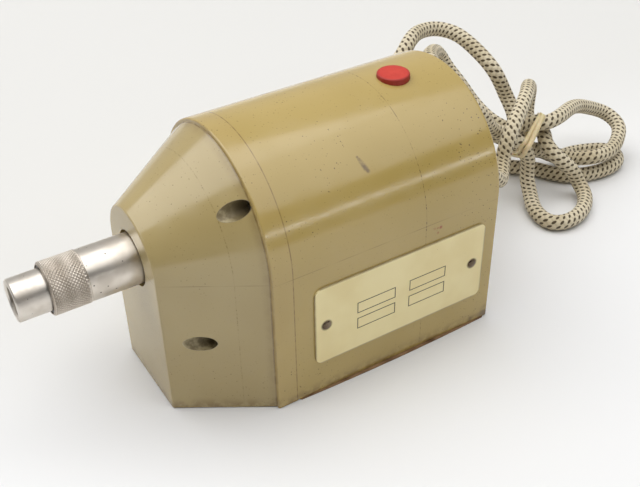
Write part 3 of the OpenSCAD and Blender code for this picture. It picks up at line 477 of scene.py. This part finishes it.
def moulding(name, gold, olive, seams=(), grime_and_shade=(), bores=(), stains=(), specks=1.0):
    """Khaki plastic. seams are the places along the spindle and the strengths of dotted mould lines;
    grime_and_shade the places, reaches and strengths of darkening in the joints, which is dirt, and at the
    ring's step onto the nose also painted shade; bores the counterbores, by distance sideways and height;
    and stains their places and reaches in millimetres, and their colours."""
    made = Finish(name, IOR=1.7)
    x, y, z = made.split(made.place())
    colour = made.mix(made.noise(22, 2.0).fade(0.35, 0.7), gold, olive)
    # the specks are denser in patches, and densest on the right shoulder towards the back
    pitted = y.fade(0.066, 0.078) * abs(z - SHOULDER_Z).fade(0.02, 0.008) * x.fade(0.02, 0.03)
    patch = made.noise(38, 2.0).fade(0.46, 0.6) + pitted * 1.2
    speck = made.dots(620, (0.18, 0.08), (0.62, 0.72), pitted * 0.25) * (patch * 0.75 + 0.25)
    fine = made.dots(1050, (0.24, 0.12), (0.66, 0.72)) * (patch * 0.7 + 0.3)
    colour = made.mix(speck * (0.85 * specks), colour, speck_dark)
    colour = made.mix(fine * (0.65 * specks), colour, fine_dark)
    # a mould line runs level with the spindle, and dotted ones run round
    faint = made.noise(70, 1.0).fade(0.3, 0.62)
    line = abs(z - AXIS_Z).fade(*HAIRLINE) * faint * 0.42
    dotted = made.noise(900, 1.0).fade(0.5, 0.6)
    for where, strength in seams:
        line = line + abs(y - where).fade(*HAIRLINE) * (dotted + 0.2) * (faint * 0.6 + 0.4) * strength
    colour = made.mix(line, colour, line_dirt)
    ragged = made.noise(300, 4.0).fade(0.35, 0.62)
    # dirt in the joints; at the ring's step onto the nose the darkening is also painted shade
    for where, reach, strength in grime_and_shade:
        joint = abs(y - where).fade(reach, reach * 0.3) * (ragged * 0.5 + 0.5) * strength
        colour = made.mix(joint, colour, joint_dirt_and_shade)
    colour = made.mix(z.fade(0.006, 0.0008) * ragged * 0.5, colour, foot_dirt)
    for at, reach, tone in stains:
        off = made.node("ShaderNodeVectorMath", {"operation": "DISTANCE"},
                        {0: made.place(), 1: Vector(at) * MM}, 1)
        near = off.fade(reach * MM, reach * 0.3 * MM)
        colour = made.mix(near * (ragged * 0.7 + 0.3) * 0.8, colour, tone)
    roughness = 0.15 + made.noise(120, 4.0).fade(0.4, 0.75) * 0.1
    # the counterbores are dusty towards the mouth and darker further in, where the darkening is dirt and
    # painted shade
    for side, height in bores:
        inside = away(abs(x) - side, z - height).fade(BORE_R + 0.0002, BORE_R + 0.00005)
        inside = inside * y.fade(*BORE_DEPTHS)
        dust = made.noise(420, 4.0).fade(0.4, 0.68) * y.fade(*DUST_DEPTHS)
        colour = made.mix(inside * 0.75, colour, made.mix(dust, bore_dirt_and_shade, bore_dust))
        roughness = roughness + inside * 0.45
    orange_peel, grain = made.noise(900, 2.0), made.noise(2300, 1.0)
    made.bump(orange_peel * 0.3 + grain * 0.4 - speck * 0.5, 0.00003, 0.5)
    return made.paint(Base_Color=colour, Roughness=roughness)


smudge, rust_red = rgb(104, 82, 52), rgb(142, 52, 30)
shoulder_smudge = [((27.2, 30.3, 85.8), 0.7), ((27.9, 30.6, 85.2), 0.9), ((28.6, 30.9, 84.4), 1.2),
                   ((29.4, 31.3, 83.5), 1.4), ((30.2, 31.7, 82.6), 1.4), ((31.0, 32.2, 81.7), 1.1)]
side_marks = [((40, 55.3, 54.0), 0.8), ((40, 56.6, 53.9), 0.7), ((40, 58.0, 53.8), 1.0),
              ((40, 56.8, 51.7), 0.8)]
foot_smudge = [((40, 84.5, 2.5), 5), ((40, 76, 1.0), 3)]
body_stains = [(at, reach, tone) for spots, tone in (
    (shoulder_smudge, smudge), (side_marks, rust_red), (foot_smudge, smudge)) for at, reach in spots]
dress(moulding("body_moulding", rgb(180, 156, 92), rgb(174, 150, 84), seams=((0.0515, 0.9),),
               grime_and_shade=((BODY_Y, 0.0003, 0.7),), stains=body_stains), "body_shell")
dress(moulding("ring_moulding", rgb(182, 158, 96), rgb(174, 149, 86),
               grime_and_shade=((BODY_Y, 0.0003, 0.7), (RING_Y, 0.0004, 0.3))), "mounting_ring")
dress(moulding("nose_moulding", rgb(174, 155, 106), rgb(166, 146, 96), seams=((-0.021, 0.35),), specks=0.6,
               grime_and_shade=((RING_Y, 0.0005, 0.6), (RING_Y, 0.003, 0.18)), bores=BORES), "nose_housing")

# Screws
# Slotted cheese-head screws, zinc plated and gone dull, and the motor's through bolts. The four long
# screws sit deep in the nose's counterbores and hold nose, ring and body together.
dress(metal("dull_zinc", rgb(176, 174, 168), rgb(128, 124, 116), 0.34),
      "housing_screws", "base_screws", "bracket_screws", "clamp_screws", "motor_bolts")

# Base
# A pad of brown vulcanised fibre under the body, with the steel plate that closes it. The cord's clamp is
# cut from the same fibre, and the brackets inside are pressed from the same sheet.
fibre = Finish("brown_fibre", Roughness=0.8, IOR=1.45)
fibre_layers = fibre.noise(500, 4.0, fibre.stretch(0.3, 0.3, 3))
fibre.bump(fibre_layers, 0.00015, 0.7)
dress(fibre.paint(Base_Color=fibre.mix(fibre_layers.fade(0.3, 0.7), rgb(98, 70, 44), rgb(150, 118, 82))),
      "base_pad", "cord_clamp")
dress(metal("plain_sheet", rgb(178, 178, 174), rgb(150, 149, 144), 0.35, along=(8, 1, 8)),
      "base_plate", "switch_bracket", "front_bracket", "rear_bracket")

# Nameplate
# Enamelled sheet, cream and yellowed, held by two domed drive pins. It is left bare but for four empty
# ruled boxes in black ink. Its rim is darkened by dirt and by a painted shadow line, and the enamel is
# painted darker in a ring round each pin.
PLATE_MID, PLATE_HALF = (0.04175, 0.0312), (0.03725, 0.01705)
PIN_PLACES = (0.0092, 0.0737)
RIM_OUTER, RIM_INNER = 0.0001, 0.0007
enamel = Finish("plate_enamel", Roughness=0.24, IOR=1.5)
_, plate_y, plate_z = enamel.split(enamel.place())
off_y, off_z = abs(plate_y - PLATE_MID[0]), abs(plate_z - PLATE_MID[1])
# painted shadow line with some dirt: the enamel darkens along the plate's edges
rim = (off_y.fade(PLATE_HALF[0] - RIM_INNER, PLATE_HALF[0] - RIM_OUTER)
       + off_z.fade(PLATE_HALF[1] - RIM_INNER, PLATE_HALF[1] - RIM_OUTER))
cream = enamel.mix(enamel.noise(45, 3.0).fade(0.35, 0.7), rgb(241, 226, 172), rgb(233, 215, 158))
cream = enamel.mix(rim * (enamel.noise(200, 3.0) * 0.5 + 0.4), cream, rgb(104, 80, 44))
# the enamel is painted darker in a ring round each pin
for pin in PIN_PLACES:
    darker_round_pin = away(plate_y - pin, plate_z - PLATE_MID[1]).fade(0.0026, 0.0018)
    cream = enamel.mix(darker_round_pin * 0.8, cream, rgb(92, 70, 38))
fly_spots = enamel.dots(600, (0.1, 0.05), (0.8, 0.85))
enamel.bump(enamel.noise(700, 2.0), 0.00001, 0.5)
dress(enamel.paint(Base_Color=enamel.mix(fly_spots * 0.7, cream, rgb(96, 74, 40))), "nameplate")
dress(metal("dark_pins", rgb(140, 126, 108), rgb(88, 74, 60), 0.2), "nameplate_pins")

PLATE_FACE, RULE, INK_T = 40.6 * MM, 0.34 * MM, 0.02 * MM
ruled_boxes = [((22.1, 38.6), (30.5, 35.3)), ((22.1, 38.6), (23.3, 28.2)),
               ((44.8, 61.1), (30.7, 35.5)), ((44.6, 61.0), (23.3, 28.3))]
bm = bmesh.new()
for (y0, y1), (z0, z1) in ruled_boxes:
    box = bm.faces.new([bm.verts.new((PLATE_FACE, y * MM, z * MM))
                        for y, z in ((y0, z0), (y1, z0), (y1, z1), (y0, z1))])
    box.normal_update()
    bmesh.ops.inset_region(bm, faces=[box], thickness=RULE, use_boundary=True, use_even_offset=True)
    bmesh.ops.delete(bm, geom=[box], context="FACES_ONLY")
raised = bmesh.ops.extrude_face_region(bm, geom=bm.faces[:])["geom"]
bmesh.ops.translate(bm, verts=[v for v in raised if isinstance(v, bmesh.types.BMVert)], vec=(INK_T, 0, 0))
bmesh.ops.recalc_face_normals(bm, faces=bm.faces)
finished("nameplate_boxes", bm, rubbed("black_ink", rgb(40, 34, 28), rgb(70, 62, 52), 0.45),
         "housing", smooth=False)

# Button
# Satin red plastic, on a spring in a hole of the body. Its top is rubbed by thumbs and its edge is a
# little darker.
BUTTON_AT = (0.0028, 0.062)
red = Finish("button_red", IOR=1.49)
button_x, button_y, _ = red.split(red.place())
edge = away(button_x - BUTTON_AT[0], button_y - BUTTON_AT[1]).fade(0.0048, 0.006)
thumbed = red.noise(240, 4.0)
button_top = red.mix(thumbed.fade(0.3, 0.75), rgb(201, 60, 43), rgb(189, 47, 34))
red.bump(red.noise(1300, 2.0), 0.00002, 0.5)
dress(red.paint(Base_Color=red.mix(edge * 0.7, button_top, rgb(140, 34, 26)),
                Roughness=0.4 + thumbed * 0.15), "button")

# Chuck
# Turned steel: the spindle tube, and the sleeve that is drawn back to let the tool go, with a diamond
# knurl cut in its front part. Fine turning marks run round, and small rust pits are scattered.
def turning_marks(made, along):
    """Fine rings, one after the other along the spindle."""
    return made.node("ShaderNodeTexNoise", {"noise_dimensions": "1D"},
                     {"W": along, "Scale": 9000.0, "Detail": 3.0})


rust_dark = rgb(44, 36, 30)
tube_steel = Finish("turned_steel", Metallic=1.0)
_, tube_y, _ = tube_steel.split(tube_steel.place())
turned = turning_marks(tube_steel, tube_y)
pits = tube_steel.dots(520, (0.14, 0.05), (0.66, 0.72))
cloud = tube_steel.noise(130, 3.0).fade(0.35, 0.7)
tube_steel.bump(turned * 0.15 - pits, 0.00002, 0.6)
tube_colour = tube_steel.mix(cloud, rgb(220, 213, 203), rgb(200, 191, 179))
tube_steel.paint(Base_Color=tube_steel.mix(pits * 0.9, tube_colour, rust_dark),
                 Roughness=0.29 + turned * 0.08 + cloud * 0.08 + pits * 0.3)
dress(tube_steel.material, "spindle", "lock_balls", "bearing_inner_race", "bearing_outer_race",
      "bearing_balls", "motor_shaft")

# the sleeve's sizes are in millimetres, and its outline is in radius and place along the spindle, as the
# CAD sleeve has it; the knurled stretch closes it
KNURL_R, PLAIN_R, SLEEVE_FRONT, SLEEVE_BACK, SLEEVE_CHAMFER = 9.45, 9.25, -74.0, -37.0, 0.6
sleeve_outline = [(PLAIN_R, -61.0), (PLAIN_R, -40.0), (PLAIN_R, -37.4), (8.85, SLEEVE_BACK),
                  (8.45, SLEEVE_BACK), (8.45, -62.0), (7.56, -62.0), (7.56, -66.8), (8.6, -68.8),
                  (8.6, -71.2), (7.56, -71.2), (7.56, -72.8), (8.5, -72.8), (8.5, SLEEVE_FRONT),
                  (KNURL_R - SLEEVE_CHAMFER, SLEEVE_FRONT),
                  (KNURL_R - 0.05, SLEEVE_FRONT + SLEEVE_CHAMFER - 0.05)]
KNURL_ROUND, KNURL_L, KNURL_DEPTH, KNURL_RUNOUT, KNURL_FLANK = 46, 12.8, 0.34, 0.4, 1.25
KNURL_PITCH = 2 * math.pi * KNURL_R / KNURL_ROUND
KNURL_RINGS, STEPS_PER_DIAMOND, SLACK = 60, 6, 0.01
knurl_at = np.linspace(SLEEVE_FRONT + SLEEVE_CHAMFER, SLEEVE_FRONT + KNURL_L, KNURL_RINGS)
bm = bmesh.new()
outline = [bm.verts.new((r * MM, y * MM, 0)) for r, y in sleeve_outline + [(KNURL_R, y) for y in knurl_at]]
edges = [bm.edges.new((a, b)) for a, b in zip(outline, outline[1:] + outline[:1])]
bmesh.ops.spin(bm, geom=outline + edges, cent=(0, 0, 0), axis=(0, 1, 0), angle=2 * math.pi,
               steps=KNURL_ROUND * STEPS_PER_DIAMOND, use_merge=True)
for v in bm.verts:
    radius, place = math.hypot(v.co.x, v.co.z) / MM, v.co.y / MM
    if radius > KNURL_R - 2 * SLACK and knurl_at[0] - SLACK < place < knurl_at[-1] + SLACK:
        turn = math.atan2(v.co.z, v.co.x) / (2 * math.pi) * KNURL_ROUND
        step = (place - knurl_at[0]) / KNURL_PITCH
        off_grooves = [abs(c - round(c)) * 2 for c in (turn + step, turn - step)]
        depth = KNURL_DEPTH * max(1 - min(off_grooves) * KNURL_FLANK, 0)
        runout = min(1, (knurl_at[-1] - place) / KNURL_RUNOUT)
        scale = (radius - depth * runout) / radius
        v.co.x *= scale
        v.co.z *= scale
    v.co.z += AXIS_Z
bmesh.ops.recalc_face_normals(bm, faces=bm.faces)

sleeve_steel = Finish("sleeve_steel", Metallic=1.0)
sleeve_x, sleeve_y, sleeve_z = sleeve_steel.split(sleeve_steel.place())
turned = turning_marks(sleeve_steel, sleeve_y)
knurled = sleeve_y.fade((SLEEVE_FRONT + KNURL_L + 0.3) * MM, (SLEEVE_FRONT + KNURL_L - 0.2) * MM)
# painted shade in the knurl's grooves: the sleeve is painted darker where the knurl is cut deep
groove_shade = away(sleeve_x, sleeve_z - AXIS_Z).fade(KNURL_R * MM, (KNURL_R - KNURL_DEPTH) * MM) * knurled
rust = sleeve_steel.dots(420, (0.16, 0.05), (0.52, 0.58)) * (1 - knurled)
cloud = sleeve_steel.noise(110, 3.0).fade(0.35, 0.7)
colour = sleeve_steel.mix(cloud, rgb(224, 216, 205), rgb(204, 195, 183))
colour = sleeve_steel.mix(groove_shade * 0.6, colour, rgb(140, 124, 106))
sleeve_steel.bump(turned * 0.12 - rust, 0.00002, 0.6)
sleeve_steel.paint(Base_Color=sleeve_steel.mix(rust * 0.9, colour, rust_dark),
                   Roughness=0.28 + turned * 0.06 + cloud * 0.1 + rust * 0.3 + knurled * 0.1)
sleeve = finished("knurled_sleeve", bm, sleeve_steel.material, "sleeve")
sleeve.data.set_sharp_from_angle(angle=math.radians(32))
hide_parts("chuck_sleeve")
dress(metal("dark_spring_steel", rgb(92, 88, 84), rgb(70, 64, 58), 0.34), "snap_ring", "bearing_clip",
      "spindle_clip", "coupling_screw")

# Springs and leads
# Springs of bright wire push the button up and the sleeve forward. Insulated leads run from the cord's end
# over the terminal block to the switch and the motor's coil.
WIRE_R, WIRE_SIDES, WIRE_STEPS = 0.35 * MM, 10, 32
LEAD_R, LEAD_SIDES = 0.9 * MM, 12


def helix(radius, low, high, turns):
    """Points of a coil about the z axis, in millimetres."""
    a = np.linspace(0, 2 * math.pi * turns, turns * WIRE_STEPS + 1)
    return np.stack([radius * np.cos(a), radius * np.sin(a), np.linspace(low, high, len(a))], 1)


wire = metal("bright_wire", rgb(206, 205, 200), rgb(180, 178, 172), 0.22)
button_coil = (helix(6.2, 83.4, 89.6, 4) + (2.8, 62, 0)) * MM
button_spring = finished("button_coil_spring", tube(button_coil, WIRE_R, WIRE_SIDES), wire, "housing")
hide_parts("button_spring")
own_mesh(button_spring)
sleeve_coil = (helix(7.85, -61.6, -40.4, 8)[:, [0, 2, 1]] * (1, 1, -1) + (0, 0, 56.5)) * MM
sleeve_spring = finished("sleeve_coil_spring", tube(sleeve_coil, WIRE_R, WIRE_SIDES), wire, "spindle_unit")
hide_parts("sleeve_spring")
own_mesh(sleeve_spring)
lead_routes = [
    [(-1.7, 71, 17.9), (-2.5, 71.5, 13), (-7, 71, 10), (-10, 68, 9), (-10, 64, 9)],
    [(1.7, 71, 17.9), (2.5, 71.5, 13), (7, 71, 10), (10, 68, 9), (10, 64, 9)],
    [(-10, 54, 9), (-10, 50.5, 9), (-12, 48.5, 16), (-14, 49, 30), (-13, 51.5, 46), (-6, 58, 57),
     (-3.2, 61, 60.9)],
    [(8.8, 61, 60.9), (10.5, 58, 57), (13, 52, 48), (14, 49, 36), (10, 46, 28), (6, 43.6, 24)],
    [(10, 54, 9), (10, 50.5, 9), (11, 46.5, 9), (11, 43.5, 10)]]
insulation = rubbed("lead_insulation", rgb(70, 88, 128), rgb(88, 104, 138), 0.45)
leads = [finished(f"inner_lead_{number}", tube(curve_through(route, 8) * MM, LEAD_R, LEAD_SIDES),
                  insulation, "housing")
         for number, route in enumerate(lead_routes, 1)]
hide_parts("inner_leads")

# Motor and switch
# Inner parts, seen only when the housing is opened: stacked sheet iron, copper, cast metal and mouldings.
# They sit on the brackets, and the rotor runs in bronze bushes oiled by felt rings.
SHEETS_PER_M, WIRES_PER_M = 2000, 2500
iron = Finish("stacked_iron", Metallic=0.8)
_, iron_y, _ = iron.split(iron.place())
sheets = (iron_y * SHEETS_PER_M).wave()
iron.bump(sheets, 0.00004, 0.6)
# painted shade: the iron is darker in the joins between the sheets, where the bump is low
dress(iron.paint(Base_Color=iron.mix(sheets.fade(-1.0, 0.4), rgb(70, 70, 74), rgb(124, 124, 128)),
                 Roughness=0.4 + iron.noise(200) * 0.2), "stator_core", "coil_bar", "rotor_core")
winding = Finish("enamelled_wire", Metallic=0.85)
winding_x, _, _ = winding.split(winding.place())
wires = (winding_x * WIRES_PER_M).wave()
winding.bump(wires, 0.00008, 0.9)
# painted shade between the turns of wire: the winding is darker where its bump is low
dress(winding.paint(Base_Color=winding.mix(wires.fade(-1.0, 0.5), rgb(92, 38, 20), rgb(178, 92, 52)),
                    Roughness=0.3 + winding.noise(300) * 0.1), "coil_winding")
felt = Finish("oiled_felt", Roughness=0.95)
fuzz = felt.noise(1600, 4.0)
felt.bump(fuzz, 0.0002, 0.8)
dress(felt.paint(Base_Color=felt.mix(fuzz, rgb(190, 178, 150), rgb(222, 212, 188))), "felt_rings")
dress(metal("cast_aluminium", rgb(204, 204, 206), rgb(186, 186, 188), 0.42, scale=900.0, scratch=0.00006),
      "rotor_cage")
dress(metal("sintered_bronze", rgb(176, 136, 78), rgb(146, 108, 60), 0.5, scale=1500.0, scratch=0.00004),
      "bushes")
dress(metal("copper", rgb(196, 122, 84), rgb(168, 98, 66), 0.3), "shading_rings")
dress(rubbed("black_moulding", rgb(40, 38, 36), rgb(60, 57, 53), 0.4), "switch_body")
dress(rubbed("white_moulding", rgb(226, 220, 204), rgb(206, 198, 178), 0.4),
      "switch_plunger", "terminal_block")
dress(rubbed("bobbin_moulding", rgb(214, 204, 170), rgb(194, 182, 146), 0.45), "coil_bobbin")

# Floor and light
# Matt white paper, with painted shade that greys it a little to the left. Three sheets of soft light
# overhead draw the bands along the arch, a narrow panel at the right draws the thin line below them, and a
# weak one stands low.
floor_paper = Finish("floor_paper", Roughness=0.9, Specular_IOR_Level=0.2)
floor_x, _, _ = floor_paper.split(floor_paper.place())
# painted shade: the paper is greyer to the left and paler to the right
painted_floor_shade_fade = (floor_x + floor_paper.noise(3.0) * 0.03).fade(-0.09, 0.06)
floor_paper.paint(Base_Color=floor_paper.mix(painted_floor_shade_fade, rgb(217, 216, 213), rgb(228, 228, 228)))
bm = bmesh.new()
bmesh.ops.create_grid(bm, x_segments=8, y_segments=8, size=2.5)
in_scene("floor", bm, floor_paper.material, smooth=False)


def panel(name, at, target, width, height, power):
    """A soft rectangular lamp that faces a point."""
    data = bpy.data.lights.new(name, "AREA")
    data.shape = "RECTANGLE"
    data.size, data.size_y = width, height
    data.energy = power
    lamp = bpy.data.objects.new(name, data)
    bpy.context.scene.collection.objects.link(lamp)
    lamp.location = at
    lamp.rotation_mode = "QUATERNION"
    lamp.rotation_quaternion = (Vector(target) - Vector(at)).to_track_quat("-Z", "Y")
    return lamp


SHEET_HEIGHT = 2.2
sheet_long = Vector((0.74, 0.67, 0)).normalized()


def overhead(name, lean, length, width, power):
    """A level lamp sheet. lean is how far aside its middle lies for each metre of height."""
    at = (lean[0] * SHEET_HEIGHT, lean[1] * SHEET_HEIGHT, SHEET_HEIGHT)
    lamp = panel(name, at, (0, 0, 0), length, width, power)
    up = Vector((0, 0, 1))
    lamp.rotation_quaternion = Matrix((sheet_long, up.cross(sheet_long), up)).transposed().to_quaternion()


overhead("overhead_sheet", (-0.42, -0.5), 4.4, 2.8, 74)
overhead("overhead_bright_edge", (-0.66, -0.14), 4.4, 0.9, 15)
overhead("overhead_far_sheet", (0.66, 0.7), 2.8, 2.1, 25)
panel("low_right_panel", (1.1, -0.25, 0.12), (0, 0.04, 0.03), 1.2, 0.5, 0.6)
panel("narrow_panel", (1.2, 0.62, 0.36), (0, 0.04, 0.06), 0.9, 0.035, 1.0)

# the room is pale on the left and dark on the right
world = bpy.data.worlds.new("studio")
bpy.context.scene.world = world
world.use_nodes = True
room = Nodes(world.node_tree)
facing = room.node("ShaderNodeTexCoord", output="Generated")
leftward = room.node("ShaderNodeVectorMath", {"operation": "DOT_PRODUCT"},
                     {0: facing, 1: (-0.86, 0.1, 0.5)}, 1)
wall_grey = leftward.fade(-0.3, 0.8) * 0.42 + 0.06
room.tree.links.new(wall_grey.socket, room.tree.nodes["Background"].inputs["Color"])
bpy.context.scene.view_settings.view_transform = "Standard"
